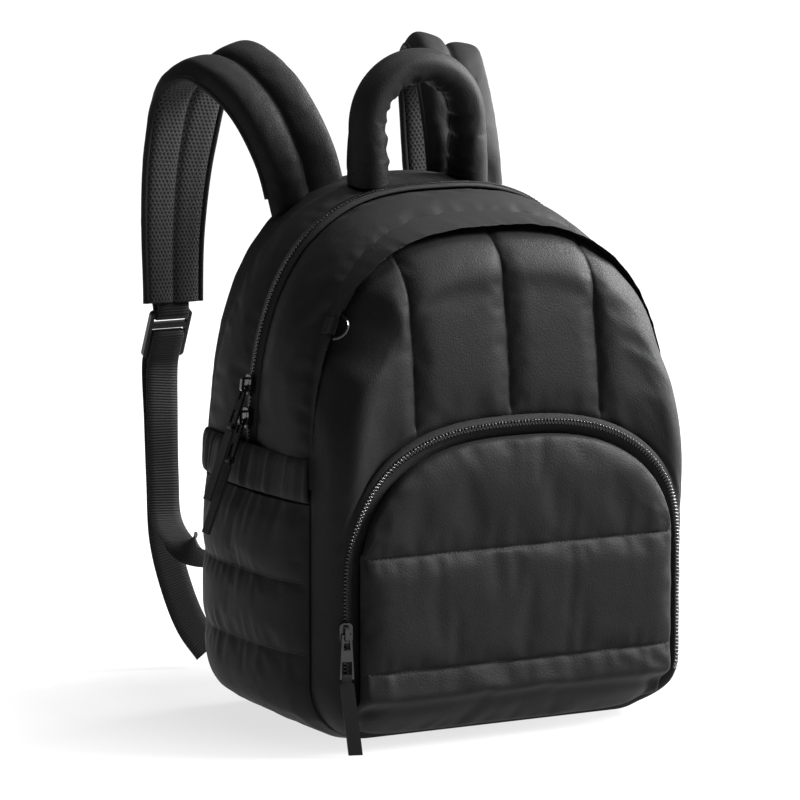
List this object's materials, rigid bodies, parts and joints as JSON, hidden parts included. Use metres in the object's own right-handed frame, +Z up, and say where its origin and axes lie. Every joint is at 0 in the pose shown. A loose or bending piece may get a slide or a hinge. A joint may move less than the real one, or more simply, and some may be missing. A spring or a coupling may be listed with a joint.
{
  "type": "quilted puffer backpack",
  "caption": "Padded quilted backpack that stands on its base, with an arched main zipper, a front pocket, side pockets, a ruffled grab handle and adjustable shoulder straps.",
  "frame": {"origin": "centre of the bounding box's footprint, on the floor that the bag stands on", "axes": "+Z up, +X to the right as seen from the front, +Y towards the wearer's back"},
  "size_m": [0.3432, 0.353, 0.4698],
  "materials": {
    "nylon": "soft sheen, quilted",
    "webbing": "woven, matte",
    "tape": "herringbone, matte",
    "spacer": "open spacer mesh",
    "plastic": "satin",
    "metal": "gloss black",
    "coil": "gloss",
    "thread": "twisted thread"
  },
  "bodies": {
    "bag": {"gusset_rear": "nylon", "gusset_front": "nylon", "base_panel": "nylon", "front_panel": "nylon", "back_panel": "nylon", "pocket_panel": "nylon", "side_pocket_left": "nylon", "side_pocket_right": "nylon", "side_band_left": "nylon", "side_band_right": "nylon", "shoulder_strap_left": "nylon", "shoulder_strap_right": "nylon", "grab_handle": "nylon", "strap_webbing_left": "webbing", "strap_webbing_right": "webbing", "adjuster_webbing_left": "webbing", "adjuster_webbing_right": "webbing", "d_ring_tab": "webbing", "main_zipper": "tape", "pocket_zipper": "tape", "strap_mesh_left": "spacer", "strap_mesh_right": "spacer", "ladder_lock_left": "plastic", "ladder_lock_right": "plastic", "pocket_slider": "metal", "upper_slider": "metal", "lower_slider": "metal"},
    "ring": {"d_ring": "metal"},
    "pocket_puller": {"pocket_pull": "metal", "pocket_pull_tab": "webbing"},
    "upper_puller": {"upper_pull": "metal", "upper_pull_tab": "webbing"},
    "lower_puller": {"lower_pull": "metal", "lower_pull_tab": "webbing"}
  },
  "joints": [
    {"name": "d_ring_swing", "type": "hinge", "parent": "bag", "child": "ring", "pos_m": [-0.11665, -0.12363, 0.29178], "axis": [-0.4453, -0.153, -0.8822], "range_deg": [0, 110]},
    {"name": "pocket_pull_swing", "type": "hinge", "parent": "bag", "child": "pocket_puller", "pos_m": [-0.12801, -0.16469, 0.0846], "axis": [-0.9539, 0.3, 0], "range_deg": [0, 140]},
    {"name": "upper_pull_swing", "type": "hinge", "parent": "bag", "child": "upper_puller", "pos_m": [-0.14066, -0.03779, 0.24038], "axis": [0, 0.9997, 0.0229], "range_deg": [0, 140]},
    {"name": "lower_pull_swing", "type": "hinge", "parent": "bag", "child": "lower_puller", "pos_m": [-0.14222, -0.0373, 0.21694], "axis": [0, 0.9998, 0.0194], "range_deg": [0, 4]}
  ]
}
